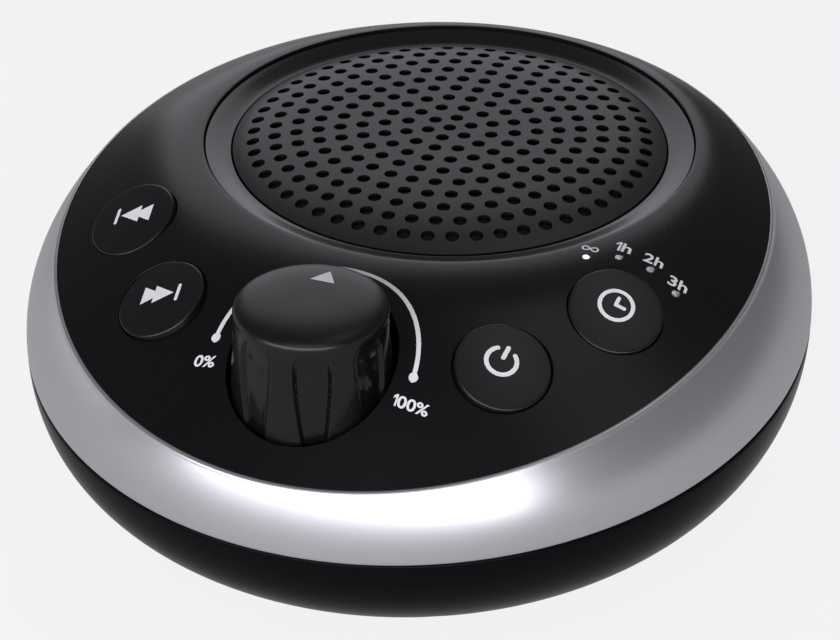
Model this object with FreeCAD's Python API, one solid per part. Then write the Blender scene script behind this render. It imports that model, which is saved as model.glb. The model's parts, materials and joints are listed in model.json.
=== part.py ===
import FreeCAD, Part
import math
import os
from FreeCAD import Vector

# Round white noise machine: a slanted pebble body with a speaker on top and controls at the front.
# Millimetres. The origin is on the table under the middle of the body, +Z up, the front faces -Y.

# Outer form
parting_half_width = 56.8
parting_half_length = 59.1
parting_height = 26.6
parting_rise = 0.074          # the base's upper edge climbs this much for each mm towards the back
bowl_depth = 30.9
bowl_roundness = 2.23
trim_half_width = 50.3
trim_half_length = 55.0
trim_centre_y = -2.2
trim_height = 41.4
trim_rise = 0.125
trim_arc_radius = 555.0       # the shell's lower edge is a very flat arc when seen from the side
band_roundness = 2.16
ring_centre_y = 12.9
ring_radius = 35.9
ring_height = 47.0
foot_height = 1.2
wall = 2.0
split_gap = 0.05
ledge_reach = 5.0             # how far the band's inner ledge stands in from the outer face

# Speaker opening, bezel and grille
ledge_inner_radius = 33.0
ledge_top = 43.7
ledge_bottom = 41.7
collar_radius = 37.7
seam_gap = 0.3
grille_radius = 31.8
grille_height = 48.0
grille_edge_height = 45.85
grille_thickness = 1.0
hole_pitch = 3.2
hole_rings = 9
hole_width = 1.9
grille_clearance = 0.12

# Speaker
gasket_thickness = 0.6
flange_thickness = 1.2
flange_radius = 35.0
basket_bottom = 24.8
magnet_radius = 20.0
magnet_bottom = 15.8
coil_radius = 9.0
bolt_circle = 35.6

# Volume control
knob_y = -41.2
well_radius = 11.66
well_wall = 1.5
well_floor = 32.6
well_floor_thickness = 1.6
knob_top = 50.7
knob_top_radius = 9.5
knob_radius = 10.45
knob_foot_radius = 9.4
knob_lift = 0.8               # gap between the knob and the floor of its well
flute_count = 8
flute_radius = 6.0
flute_reach = 9.55            # distance from the knob's axis to the deepest line of a flute
shaft_radius = 3.0
bush_radius = 3.5
potentiometer_side = 12.0
potentiometer_height = 6.4

# Buttons: each centre on the shell, and how far the shell leans there
button_radius = 6.65
button_gap = 0.2
button_proud = 0.6
button_travel = 0.6
power_place = (24.2, -36.1, 41.37)
timer_place = (35.15, -21.7, 43.72)
button_axis = (0.297, -0.373, 0.879)
flange_rim = 0.7
collar_depth = 4.9
stem_radius = 1.6
switch_depth = 8.6            # from the shell's face down to the top of a switch
switch_side = 6.0
switch_height = 3.4
lamp_side_extra = 6.5         # the right button board runs on this far to carry the timer lamps
board_thickness = 1.6

# Timer lights, on an arc above the timer button
light_radius = 0.65
light_arc_radius = 10.4
light_angles = (128.0, 103.3, 78.7, 54.0)
light_heights = (46.79, 46.52, 45.53, 43.60)

# Main board and fixings
board_height = 9.4
board_half_width = 30.0
board_front = -24.0
board_back = 30.0
board_tongue = 12.0
board_tongue_back = 46.0
foot_places = ((-21, -22), (21, -22), (-21, 22), (21, 22))
foot_radius = 5.0
foot_recess = 0.8
post_places = ((-19, -46.5), (19, -46.5), (-32, 33.5), (32, 33.5))
post_radius = 2.6
post_joint = 16.0
post_seat = 13.5
board_posts = ((-26, -20), (26, -20), (-26, 26), (26, 26))
screw_radius = 1.2
screw_gap = 0.05
screw_head_radius = 2.2
pocket_half_width = 7.0
pocket_height = 8.0
pocket_face_y = 50.0
socket_width = 8.94
socket_height = 3.26
socket_length = 7.4
socket_middle = board_height + board_thickness + socket_height / 2

UP = Vector(0, 0, 1)


def cylinder(radius, bottom, top, x=0.0, y=0.0):
    return Part.makeCylinder(radius, top - bottom, Vector(x, y, bottom), UP)


def tube(outer, inner, bottom, top, x=0.0, y=0.0):
    return cylinder(outer, bottom, top, x, y).cut(cylinder(inner, bottom - 1, top + 1, x, y))


def block(x0, x1, y0, y1, z0, z1):
    return Part.makeBox(x1 - x0, y1 - y0, z1 - z0, Vector(x0, y0, z0))


def revolved(outline, x=0.0, y=0.0):
    """Turns an outline of (radius, height) points once round a vertical axis."""
    points = [Vector(r, 0, z) for r, z in outline]
    face = Part.Face(Part.makePolygon(points + points[:1]))
    solid = face.revolve(Vector(0, 0, 0), UP, 360)
    solid.translate(Vector(x, y, 0))
    return solid


def fused(shapes):
    return shapes[0].multiFuse(shapes[1:]) if len(shapes) > 1 else shapes[0]


# Sections of the outer form

def oval(half_width, half_length, centre_y, height, rise=0.0, sag=0.0):
    """A closed smooth oval whose height climbs towards the back and sags at both ends."""
    count = 16
    points = []
    for i in range(count):
        angle = math.pi / 2 + 2 * math.pi * i / count
        y = half_length * math.sin(angle)
        points.append(Vector(half_width * math.cos(angle), centre_y + y, height + rise * y - sag * y * y))
    curve = Part.BSplineCurve()
    steps = [float(i) for i in range(count + 1)]
    curve.interpolate(Points=points, PeriodicFlag=True, Parameters=steps)
    return Part.Wire(curve.toShape())


def bowl_form(inset):
    """The bowl below the parting line, closed at the parting plane."""
    sections = []
    for step in range(9):
        angle = math.radians(60.0 * step / 8)
        drop = bowl_depth * math.sin(angle) ** (2 / bowl_roundness)
        share = math.cos(angle) ** (2 / bowl_roundness)
        sections.append(oval(parting_half_width * share - inset, parting_half_length * share - inset, 0.0,
                             parting_height - drop, parting_rise * (1 - drop / bowl_depth)))
    return Part.makeLoft(sections, True, True)


trim_sag = 0.5 / trim_arc_radius


def band_form(inset):
    """The bulging side above the parting plane, carried on past the trim line."""
    sections = []
    for step in (0.0, 0.2, 0.4, 0.6, 0.8, 1.0, 1.12, 1.5):
        inward = step ** band_roundness
        width = parting_half_width + (trim_half_width - parting_half_width) * inward
        length = parting_half_length + (trim_half_length - parting_half_length) * inward
        height = parting_height + (trim_height - parting_height) * step
        rise = parting_rise + (trim_rise - parting_rise) * step
        sag = trim_sag * step if step < 1.5 else 0.0
        sections.append(oval(width - inset, length - inset, trim_centre_y * inward, height, rise, sag))
    return Part.makeLoft(sections, True, True)


def dome_form(inset):
    """The sloping top, from below the trim line up to the speaker ring."""
    sections = [oval(trim_half_width + 7.0 - inset, trim_half_length + 9.0 - inset, trim_centre_y - 7.5,
                     trim_height - 10.5 - inset, 0.2)]
    for inward in (-0.12, 0.0, 0.15, 0.3, 0.45, 0.6, 0.8, 1.0):
        rise_share = 1 - (1 - inward) ** (1.5 + 0.5 * inward)
        width = trim_half_width + (ring_radius - trim_half_width) * inward
        length = trim_half_length + (ring_radius - trim_half_length) * inward
        centre = trim_centre_y + (ring_centre_y - trim_centre_y) * inward
        height = trim_height + (ring_height - trim_height) * rise_share
        rise = trim_rise * (1 - rise_share) * trim_half_length / length
        sag = trim_sag * (1 - rise_share) * (trim_half_length / length) ** 2
        sections.append(oval(width - inset, length - inset, centre, height - inset, rise, sag))
    return Part.makeLoft(sections, True, True)


def above_trim(offset):
    """Everything above the flat arc that parts the dark shell from the silver band."""
    reach = 70.0

    def point(y):
        from_centre = y - trim_centre_y
        height = trim_height + trim_rise * from_centre - trim_sag * from_centre ** 2
        return Vector(-reach, y, height + offset)

    front, middle, back = point(-reach), point(0.0), point(reach)
    arc = Part.Arc(front, middle, back).toShape()
    top = 80.0
    sides = Part.makePolygon([back, Vector(-reach, reach, top), Vector(-reach, -reach, top), front])
    outline = Part.Wire([arc] + sides.Edges)
    return Part.Face(outline).extrude(Vector(2 * reach, 0, 0))


outer_bowl = bowl_form(0.0)
inner_bowl = bowl_form(wall)
outer_band = band_form(0.0).cut(above_trim(0.0))
outer_dome = dome_form(0.0).common(above_trim(split_gap))
inner_dome = dome_form(wall)


# Button frames: the axis of a pair leans with the shell, mirrored on the left

def unit(values, side):
    return Vector(values[0] * side, values[1], values[2]).normalize()


def along(place, side, depth):
    """The point this far below the shell's face on a button's axis."""
    return Vector(place[0] * side, place[1], place[2]) - unit(button_axis, side) * depth


def rod(place, side, radius, shallow, deep):
    """A round bar on a button's axis between two depths below the shell's face."""
    axis = unit(button_axis, side)
    return Part.makeCylinder(radius, deep - shallow, along(place, side, deep), axis)


def between(side, depth, across=0.0, sideways=0.0):
    """A point on the board under a pair of buttons, measured from its middle."""
    power = along(power_place, side, depth)
    timer = along(timer_place, side, depth)
    line = (timer - power).normalize()
    axis = unit(button_axis, side)
    line = (line - axis * line.dot(axis)).normalize()
    middle = (power + timer) * 0.5
    middle = middle - axis * (middle - power).dot(axis)
    return middle + line * across + line.cross(axis) * sideways * side


buttons = {"power": (power_place, 1), "timer": (timer_place, 1),
           "next": (power_place, -1), "previous": (timer_place, -1)}


# Case

def light_place(index):
    angle = math.radians(light_angles[index])
    return Vector(timer_place[0] + light_arc_radius * math.cos(angle),
                  timer_place[1] + light_arc_radius * math.sin(angle), light_heights[index])


def under_dome(bar):
    """The part of a bar that lies below the top shell's outer surface."""
    return bar.common(dome_form(0.5)).fuse(bar.cut(above_trim(2.0)))


board_post_offset = 8.0
board_post_radius = 2.0
button_wall = 1.2
board_post_sides = [(side, sign * board_post_offset) for side in (-1, 1) for sign in (-1, 1)]


def board_post(side, sideways, radius, length, below=0.0):
    """A round bar that stands on a button board, square to it."""
    foot = between(side, switch_depth + switch_height + below, 0.0, sideways)
    return Part.makeCylinder(radius, length, foot, unit(button_axis, side))


def make_top_shell():
    hangers = [tube(collar_radius, ledge_inner_radius, ledge_bottom, ring_height - 0.6, 0, ring_centre_y)]
    hangers.append(cylinder(well_radius + well_wall, well_floor - well_floor_thickness, knob_top, 0, knob_y))
    for x, y in post_places:
        hangers.append(cylinder(post_radius, post_joint, knob_top, x, y))
    for place, side in buttons.values():
        hangers.append(rod(place, side, button_radius + button_gap + button_wall, -6.0, collar_depth))
    hangers += [board_post(side, sideways, board_post_radius, 20.0) for side, sideways in board_post_sides]
    shell = fused([outer_dome.cut(inner_dome)] + [under_dome(bar) for bar in hangers])
    cuts = [cylinder(ring_radius + 0.05, ledge_top, ring_height + 5, 0, ring_centre_y)]
    cuts.append(cylinder(ledge_inner_radius, 0, ring_height + 5, 0, ring_centre_y))
    cuts.append(cylinder(well_radius, well_floor, knob_top + 5, 0, knob_y))
    cuts.append(cylinder(bush_radius + 0.1, 0, knob_top, 0, knob_y))
    for x, y in post_places:
        cuts.append(cylinder(screw_radius + screw_gap, post_joint - 1, post_joint + 9, x, y))
    for place, side in buttons.values():
        cuts.append(rod(place, side, button_radius + button_gap, -8.0, collar_depth + 3))
    cuts += [board_post(side, sideways, 0.9, 6.0, 1.0) for side, sideways in board_post_sides]
    for index in range(len(light_angles)):
        place = light_place(index)
        cuts.append(cylinder(light_radius + 0.05, place.z - 6, place.z + 4, place.x, place.y))
    for x, y in ear_places():
        cuts.append(cylinder(0.85, ledge_bottom - 1, ledge_bottom + 1.6, x, y))
    return shell.cut(fused(cuts))


def make_silver_band():
    ring = outer_band.cut(band_form(wall))
    ledge = band_form(wall * 0.5).cut(band_form(ledge_reach))
    ledge = ledge.common(above_trim(-2.4)).cut(above_trim(0.0))
    passing = [cylinder(post_radius + 0.3, 0, 80, x, y) for x, y in post_places]
    passing.append(cylinder(collar_radius + 0.3, 0, 80, 0, ring_centre_y))
    passing.append(cylinder(well_radius + well_wall + 0.3, 0, 80, 0, knob_y))
    for place, side in buttons.values():
        passing.append(rod(place, side, button_radius + button_gap + button_wall + 0.3, -5, 20))
    for side, sideways in board_post_sides:
        passing.append(board_post(side, sideways, board_post_radius + 0.3, 30.0))
    return ring.fuse(ledge.cut(fused(passing)))


def make_base_shell():
    floor = foot_height + wall
    cavity = inner_bowl.common(block(-70, 70, -70, 70, floor, 60))
    keep = [cylinder(screw_head_radius + 1.2, 0, post_joint, x, y) for x, y in post_places]
    keep += [cylinder(3.0, 0, board_height, x, y) for x, y in board_posts]
    keep.append(block(-pocket_half_width - wall, pocket_half_width + wall, pocket_face_y - wall, 60,
                      socket_middle - pocket_height / 2 - wall, socket_middle + pocket_height / 2 + wall))
    shell = outer_bowl.cut(cavity.cut(fused(keep)))
    shell = shell.common(block(-70, 70, -70, 70, foot_height, 60))
    tongue = bowl_form(wall + 0.1).cut(bowl_form(wall + 1.1))
    tongue = tongue.common(block(-70, 70, -70, 70, parting_height - 12, 60))
    lift = tongue.copy()
    lift.translate(Vector(0, 0, 1.5))
    shell = shell.fuse(lift)
    cuts = [cylinder(foot_radius + 0.1, 0, foot_height + foot_recess, x, y) for x, y in foot_places]
    for x, y in post_places:
        cuts.append(cylinder(screw_head_radius + 0.1, 0, post_seat, x, y))
        cuts.append(cylinder(screw_radius + 0.2, 0, post_joint + 1, x, y))
    for x, y in board_posts:
        cuts.append(cylinder(1.0, board_height - 5.0, board_height + 1, x, y))
    cuts.append(block(-pocket_half_width, pocket_half_width, pocket_face_y, 70,
                      socket_middle - pocket_height / 2, socket_middle + pocket_height / 2))
    cuts.append(usb_outline(0.12, pocket_face_y - 6, pocket_face_y + 1, socket_middle))
    return shell.cut(fused(cuts))


def usb_outline(grow, y0, y1, middle):
    """The rounded bar shape of the charging socket, from y0 to y1."""
    half = socket_height / 2 + grow
    span = socket_width / 2 + grow - half
    bar = block(-span, span, y0, y1, middle - half, middle + half)
    ends = [Part.makeCylinder(half, y1 - y0, Vector(x, y0, middle), Vector(0, 1, 0)) for x in (-span, span)]
    return fused([bar] + ends)


# Speaker bezel and grille

def make_bezel_ring():
    outer = ring_radius - seam_gap
    inner = grille_radius + grille_clearance
    outline = [(outer, ledge_top), (outer, ring_height - 0.15), (inner, grille_edge_height - 0.1),
               (inner, ledge_top + 0.2), (30.2, ledge_top + 0.2), (30.2, ledge_bottom),
               (ledge_inner_radius - 0.15, ledge_bottom), (ledge_inner_radius - 0.15, ledge_top)]
    return revolved(outline, 0, ring_centre_y)


def dome_curve(lowered, edge):
    """The grille's crown: nearly flat in the middle and rolling down at the edge."""
    drop = grille_height - grille_edge_height
    points = []
    for share in (0.0, 0.25, 0.5, 0.75, 0.9, 1.0):
        fall = drop * (0.16 * share ** 2 + 0.84 * share ** 5)
        points.append(Vector(edge * share, 0, grille_height - fall - lowered))
    curve = Part.BSplineCurve()
    curve.interpolate(Points=points, InitialTangent=Vector(1, 0, 0),
                      FinalTangent=Vector(1, 0, -drop * 4.52 / edge))
    return curve.toShape(), points[0], points[-1]


def make_speaker_grille():
    top, crown, rim = dome_curve(0.0, grille_radius)
    under, hollow, lip = dome_curve(grille_thickness, grille_radius - grille_thickness)
    foot = ledge_top + 0.2
    outer_foot = Vector(grille_radius, 0, foot)
    inner_foot = Vector(grille_radius - grille_thickness, 0, foot)
    sides = Part.makePolygon([rim, outer_foot, inner_foot, lip])
    middle = Part.makeLine(hollow, crown)
    face = Part.Face(Part.Wire(Part.__sortEdges__([top] + sides.Edges + [under, middle])))
    plate = face.revolve(Vector(0, 0, 0), UP, 360)
    holes = []
    for ring in range(hole_rings + 1):
        for step in range(max(1, 6 * ring)):
            angle = math.radians(30) + 2 * math.pi * step / max(1, 6 * ring)
            x, y = ring * hole_pitch * math.cos(angle), ring * hole_pitch * math.sin(angle)
            corners = []
            for corner in range(7):
                turn = angle + math.pi * corner / 3
                corners.append(Vector(x + hole_width * 0.525 * math.cos(turn),
                                      y + hole_width * 0.525 * math.sin(turn), grille_height - 6))
            hole = Part.Face(Part.makePolygon(corners)).extrude(Vector(0, 0, 8))
            holes.append(hole)
    plate = plate.cut(Part.makeCompound(holes))
    plate.translate(Vector(0, ring_centre_y, 0))
    return plate


def make_grille_cloth():
    radius = grille_radius - grille_thickness - 0.2
    return cylinder(radius, ledge_top + 0.2, ledge_top + 0.4, 0, ring_centre_y)


# Speaker

flange_top = ledge_bottom - gasket_thickness
flange_bottom = flange_top - flange_thickness


def ear_places():
    for angle in (45, 135, 225, 315):
        yield (bolt_circle * math.cos(math.radians(angle)),
               ring_centre_y + bolt_circle * math.sin(math.radians(angle)))


def make_speaker_frame():
    flange = tube(flange_radius, 25.5, flange_bottom, flange_top, 0, ring_centre_y)
    ears = [cylinder(2.6, flange_bottom, flange_top, x, y) for x, y in ear_places()]
    basket = revolved([(27.5, flange_bottom), (26.3, flange_bottom), (15.2, basket_bottom + 1.2),
                       (coil_radius + 0.9, basket_bottom + 1.2), (coil_radius + 0.9, basket_bottom),
                       (16.4, basket_bottom)], 0, ring_centre_y)
    frame = fused([flange] + ears + [basket])
    for angle in (0, 90, 180, 270):
        window = block(14.5, 30, -7.0, 7.0, basket_bottom + 3.0, flange_bottom - 2.5)
        window.rotate(Vector(0, 0, 0), UP, angle)
        window.translate(Vector(0, ring_centre_y, 0))
        frame = frame.cut(window)
    holes = [cylinder(1.1, flange_bottom - 1, flange_top + 1, x, y) for x, y in ear_places()]
    return frame.cut(fused(holes))


def make_speaker_surround():
    """A half roll between the cone and the frame, with a flat lip on the flange."""
    roll = []
    inner = []
    for degrees in range(0, 181, 45):
        angle = math.radians(degrees)
        roll.append((25.5 + 1.9 * math.cos(angle), flange_top + 0.5 + 1.5 * math.sin(angle)))
        inner.insert(0, (25.5 + 1.4 * math.cos(angle), flange_top + 0.5 + 1.0 * math.sin(angle)))
    outline = [(29.0, flange_top), (29.0, flange_top + 0.5)] + roll
    outline += [(22.6, flange_top + 0.5), (22.6, flange_top)] + [(24.1, flange_top)]
    outline += inner[0:1] + inner[1:-1] + [(26.9, flange_top)]
    return revolved(outline, 0, ring_centre_y)


def make_speaker_cone():
    top = flange_top
    outline = [(24.0, top), (22.8, top), (coil_radius - 0.1, 33.0), (coil_radius - 0.1, 32.4),
               (coil_radius + 0.3, 32.4), (23.6, top - 0.7), (24.0, top - 0.7)]
    return revolved(outline, 0, ring_centre_y)


def make_dust_cap():
    outline = [(11.0, 34.55), (7.5, 36.1), (0.0, 37.1), (0.0, 36.6), (7.2, 35.6), (10.4, 34.32)]
    return revolved(outline, 0, ring_centre_y)


def make_voice_coil():
    return tube(coil_radius - 0.1, coil_radius - 0.6, 20.0, 33.0, 0, ring_centre_y)


def make_spider():
    """The corrugated disc that centres the coil."""
    outline = [(coil_radius, 29.0), (coil_radius, 28.6)]
    lower = []
    for index in range(1, 5):
        r = coil_radius + index * 1.7
        z = 28.8 + (0.45 if index % 2 else -0.45)
        outline.append((r, z - 0.2))
        lower.append((r, z + 0.2))
    outline += [(16.9, 28.6), (16.9, 29.0)]
    return revolved(outline + lower[::-1], 0, ring_centre_y)


def make_magnet_top_plate():
    return tube(17.0, coil_radius + 0.5, magnet_bottom + 7.8, basket_bottom, 0, ring_centre_y)


def make_speaker_magnet():
    return tube(magnet_radius, 11.5, magnet_bottom, magnet_bottom + 7.8, 0, ring_centre_y)


def make_magnet_back_plate():
    plate = cylinder(17.0, magnet_bottom - 2.0, magnet_bottom, 0, ring_centre_y)
    pole = cylinder(coil_radius - 1.0, magnet_bottom - 1.0, basket_bottom, 0, ring_centre_y)
    return plate.fuse(pole)


def make_gasket():
    ring = tube(flange_radius, 29.6, flange_top, ledge_bottom, 0, ring_centre_y)
    holes = [cylinder(3.2, flange_top - 1, ledge_bottom + 1, x, y) for x, y in ear_places()]
    return ring.cut(fused(holes))


def screw(x, y, head_bottom, head_height, head_radius, shank_radius, tip):
    head = cylinder(head_radius, head_bottom, head_bottom + head_height, x, y)
    shank = cylinder(shank_radius, head_bottom + head_height - 0.1, tip, x, y)
    slot = block(x - 0.3, x + 0.3, y - 1.2, y + 1.2, head_bottom - 1, head_bottom + 0.6)
    cross = block(x - 1.2, x + 1.2, y - 0.3, y + 0.3, head_bottom - 1, head_bottom + 0.6)
    return head.fuse(shank).cut(slot).cut(cross)


def make_speaker_screws():
    return Part.makeCompound([screw(x, y, flange_bottom - 1.2, 1.2, 1.8, 0.8, ledge_bottom + 1.4)
                              for x, y in ear_places()])


# Volume control

knob_bottom = well_floor + knob_lift


def make_volume_knob():
    """A turned, fluted cap with a hollow underneath and a boss for the shaft."""
    top = knob_top
    flat = knob_top_radius - 1.6
    middle = Vector(0, 0, top)
    flat_end = Vector(flat, 0, top - 0.12)
    roll_end = Vector(knob_top_radius + 0.3, 0, top - 1.9)
    shoulder_end = Vector(knob_radius, 0, top - 5.4)
    crown = Part.Arc(middle, Vector(flat / 2, 0, top - 0.03), flat_end).toShape()
    roll = Part.Arc(flat_end, Vector(knob_top_radius - 0.35, 0, top - 0.7), roll_end).toShape()
    shoulder = Part.Arc(roll_end, Vector(knob_radius - 0.08, 0, top - 3.6), shoulder_end).toShape()
    side = Part.makePolygon([shoulder_end, Vector(knob_foot_radius, 0, knob_bottom),
                             Vector(0, 0, knob_bottom), middle])
    outline = Part.Wire([crown, roll, shoulder] + side.Edges)
    body = Part.Face(outline).revolve(Vector(0, 0, 0), UP, 360)
    for index in range(flute_count):
        angle = 2 * math.pi * (index + 0.5) / flute_count
        centre = flute_reach + flute_radius
        cutter = Part.makeCylinder(flute_radius, 40, Vector(centre, 0, top - 4.4 - 40), UP)
        ball = Part.makeSphere(flute_radius, Vector(centre, 0, top - 4.4))
        cutter = cutter.fuse(ball)
        cutter.rotate(Vector(0, 0, 0), UP, math.degrees(angle))
        body = body.cut(cutter)
    hollow = tube(7.9, 5.0, knob_bottom - 1, top - 3.2)
    boss_end = cylinder(5.0, knob_bottom - 1, well_floor + 4.4)
    bore = cylinder(shaft_radius + 0.02, knob_bottom - 1, top - 4.0)
    body = body.cut(hollow).cut(boss_end).cut(bore)
    body.translate(Vector(0, knob_y, 0))
    return body


potentiometer_top = well_floor - well_floor_thickness
potentiometer_bottom = potentiometer_top - potentiometer_height
bush_top = well_floor + 3.9


def make_shaft():
    lower = cylinder(shaft_radius, potentiometer_bottom + 2.0, knob_top - 4.1, 0, knob_y)
    flat = block(-5, 5, knob_y + 2.4, knob_y + 6, bush_top + 0.6, knob_top)
    return lower.cut(flat)


def make_potentiometer():
    half = potentiometer_side / 2
    body = block(-half, half, knob_y - half, knob_y + half, potentiometer_bottom, potentiometer_top)
    bush = cylinder(bush_radius, potentiometer_top - 0.5, bush_top, 0, knob_y)
    body = body.fuse(bush)
    body = body.cut(cylinder(shaft_radius + 0.05, potentiometer_bottom + 1.9, bush_top + 1, 0, knob_y))
    return body


def make_washer():
    return tube(6.0, bush_radius + 0.1, well_floor, well_floor + 0.5, 0, knob_y)


def make_nut():
    corners = [Vector(5.75 * math.cos(math.pi * k / 3), knob_y + 5.75 * math.sin(math.pi * k / 3),
                      well_floor + 0.5) for k in range(7)]
    nut = Part.Face(Part.makePolygon(corners)).extrude(Vector(0, 0, 2.0))
    return nut.cut(cylinder(bush_radius + 0.02, well_floor, well_floor + 4, 0, knob_y))


def make_volume_board():
    return block(-13, 13, knob_y - 6.5, knob_y + 13.5, potentiometer_bottom - board_thickness,
                 potentiometer_bottom)


# Buttons

def make_button(name):
    place, side = buttons[name]
    cap = rod(place, side, button_radius, -button_proud, collar_depth + 0.05)
    crown = Part.makeSphere(60.0, along(place, side, 60.0 - button_proud))
    cap = cap.common(crown)
    rim = rod(place, side, button_radius + button_gap + flange_rim, collar_depth + 0.05, collar_depth + 0.85)
    stem = rod(place, side, stem_radius, collar_depth, switch_depth - 0.9)
    return fused([cap, rim, stem])


def make_plunger(name):
    place, side = buttons[name]
    return rod(place, side, 1.5, switch_depth - 0.9, switch_depth + 0.9)


def oriented_block(place, side, half_across, half_sideways, shallow, deep):
    """A rectangular block on a button's axis, square to the line of its pair."""
    power = along(power_place, side, 0)
    timer = along(timer_place, side, 0)
    axis = unit(button_axis, side)
    line = timer - power
    line = (line - axis * line.dot(axis)).normalize()
    other = line.cross(axis).normalize()
    centre = along(place, side, deep)
    return slab(centre, line, other, axis, half_across, half_sideways, deep - shallow)


def slab(centre, line, other, axis, half_across, half_sideways, height):
    corners = []
    for u, v in ((-1, -1), (1, -1), (1, 1), (-1, 1), (-1, -1)):
        corners.append(centre + line * (u * half_across) + other * (v * half_sideways))
    return Part.Face(Part.makePolygon(corners)).extrude(axis * height)


def make_switch(name):
    place, side = buttons[name]
    deep = pair_depth(place, side)
    half = switch_side / 2
    body = oriented_block(place, side, half, half, switch_depth, deep)
    return body.cut(rod(place, side, 1.6, switch_depth - 1, switch_depth + button_travel + 1.0))


def pair_depth(place, side):
    """How far below a button's own face the pair's common board lies."""
    axis = unit(button_axis, side)
    power = along(power_place, side, 0)
    own = along(place, side, 0)
    return switch_depth + switch_height + (own - power).dot(axis)


def make_button_board(side):
    axis = unit(button_axis, side)
    power = along(power_place, side, 0)
    timer = along(timer_place, side, 0)
    line = timer - power
    line = (line - axis * line.dot(axis)).normalize()
    other = line.cross(axis).normalize()
    extra = lamp_side_extra if side == 1 else 0.0
    middle = between(side, switch_depth + switch_height, extra / 2)
    board = slab(middle - axis * board_thickness, line, other, axis, 13.5 + extra / 2, 9.8, board_thickness)
    holes = [board_post(side, sign * board_post_offset, 0.95, 10.0, 4.0) for sign in (-1, 1)]
    return board.cut(fused(holes))


def make_button_board_screws():
    solids = []
    for side in (-1, 1):
        axis = unit(button_axis, side)
        for sideways in (-board_post_offset, board_post_offset):
            seat = between(side, switch_depth + switch_height + board_thickness, 0.0, sideways)
            head = Part.makeCylinder(1.9, 1.2, seat - axis * 1.2, axis)
            shank = Part.makeCylinder(0.85, board_thickness + 4.2, seat - axis * 0.1, axis)
            solids.append(head.fuse(shank))
    return Part.makeCompound(solids)


# Timer lights

lamp_height = 1.6
lamp_radius = 1.0
guide_bar_height = 39.0


def lamp_seat(index):
    """The point on the right button board straight below a light."""
    axis = unit(button_axis, 1)
    board = between(1, switch_depth + switch_height)
    place = light_place(index)
    height = board.z - (axis.x * (place.x - board.x) + axis.y * (place.y - board.y)) / axis.z
    return Vector(place.x, place.y, height)


def make_light_guide():
    """Four clear pins joined by a bar, reaching from the shell's face to the lamps."""
    pins = []
    joints = []
    for index in range(len(light_angles)):
        place = light_place(index)
        foot = lamp_seat(index).z + lamp_height + 0.5
        pins.append(cylinder(light_radius, foot, place.z, place.x, place.y))
        joints.append(Vector(place.x, place.y, guide_bar_height))
    bars = []
    for first, second in zip(joints, joints[1:]):
        line = second - first
        bars.append(Part.makeCylinder(0.5, line.Length, first, line))
    return fused(pins + bars)


def make_lights():
    axis = unit(button_axis, 1)
    return Part.makeCompound([Part.makeCylinder(lamp_radius, lamp_height, lamp_seat(i), axis)
                              for i in range(len(light_angles))])


# Main board

def make_main_board():
    top = board_height + board_thickness
    board = block(-board_half_width, board_half_width, board_front, board_back, board_height, top)
    tongue = block(-board_tongue, board_tongue, board_back - 1, board_tongue_back, board_height, top)
    board = board.fuse(tongue)
    holes = [cylinder(1.3, board_height - 1, top + 1, x, y) for x, y in board_posts]
    return board.cut(fused(holes))


board_top = board_height + board_thickness


def make_processor():
    return block(-5, 5, -17, -7, board_top, board_top + 1.4)


def make_amplifier():
    return block(-20, -14, -2, 4, board_top, board_top + 1.0)


def make_capacitors():
    places = ((24.5, -8), (24.5, 2), (24.5, 12))
    return Part.makeCompound([cylinder(3.15, board_top, board_top + 7.0, x, y) for x, y in places])


def make_connectors():
    places = ((-24, -10), (-24, 10), (0, -21))
    return Part.makeCompound([block(x - 3.5, x + 3.5, y - 2.2, y + 2.2, board_top, board_top + 3.4)
                              for x, y in places])


def make_usb_socket():
    y1 = pocket_face_y - 0.2
    shell = usb_outline(0.0, y1 - socket_length, y1, socket_middle)
    mouth = usb_outline(-0.3, y1 - socket_length + 1.0, y1 + 1, socket_middle)
    tongue = block(-3.3, 3.3, y1 - socket_length + 0.5, y1 - 0.8, socket_middle - 0.35, socket_middle + 0.35)
    return fused([shell.cut(mouth), tongue])


def make_board_screws():
    solids = []
    for x, y in board_posts:
        head = cylinder(2.2, board_top, board_top + 1.4, x, y)
        solids.append(head.fuse(cylinder(0.95, board_top - 6.0, board_top + 0.1, x, y)))
    return Part.makeCompound(solids)


def make_case_screws():
    solids = []
    for x, y in post_places:
        solids.append(screw(x, y, post_seat - 2.0, 2.0, screw_head_radius, screw_radius, post_joint + 8))
    return Part.makeCompound(solids)


def make_foot(place):
    x, y = place
    pad = cylinder(foot_radius, 0, foot_height + foot_recess, x, y)
    rims = [edge for edge in pad.Edges if edge.BoundBox.ZMax < 0.1 and edge.Closed]
    return pad.makeChamfer(0.4, rims[:1])


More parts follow.
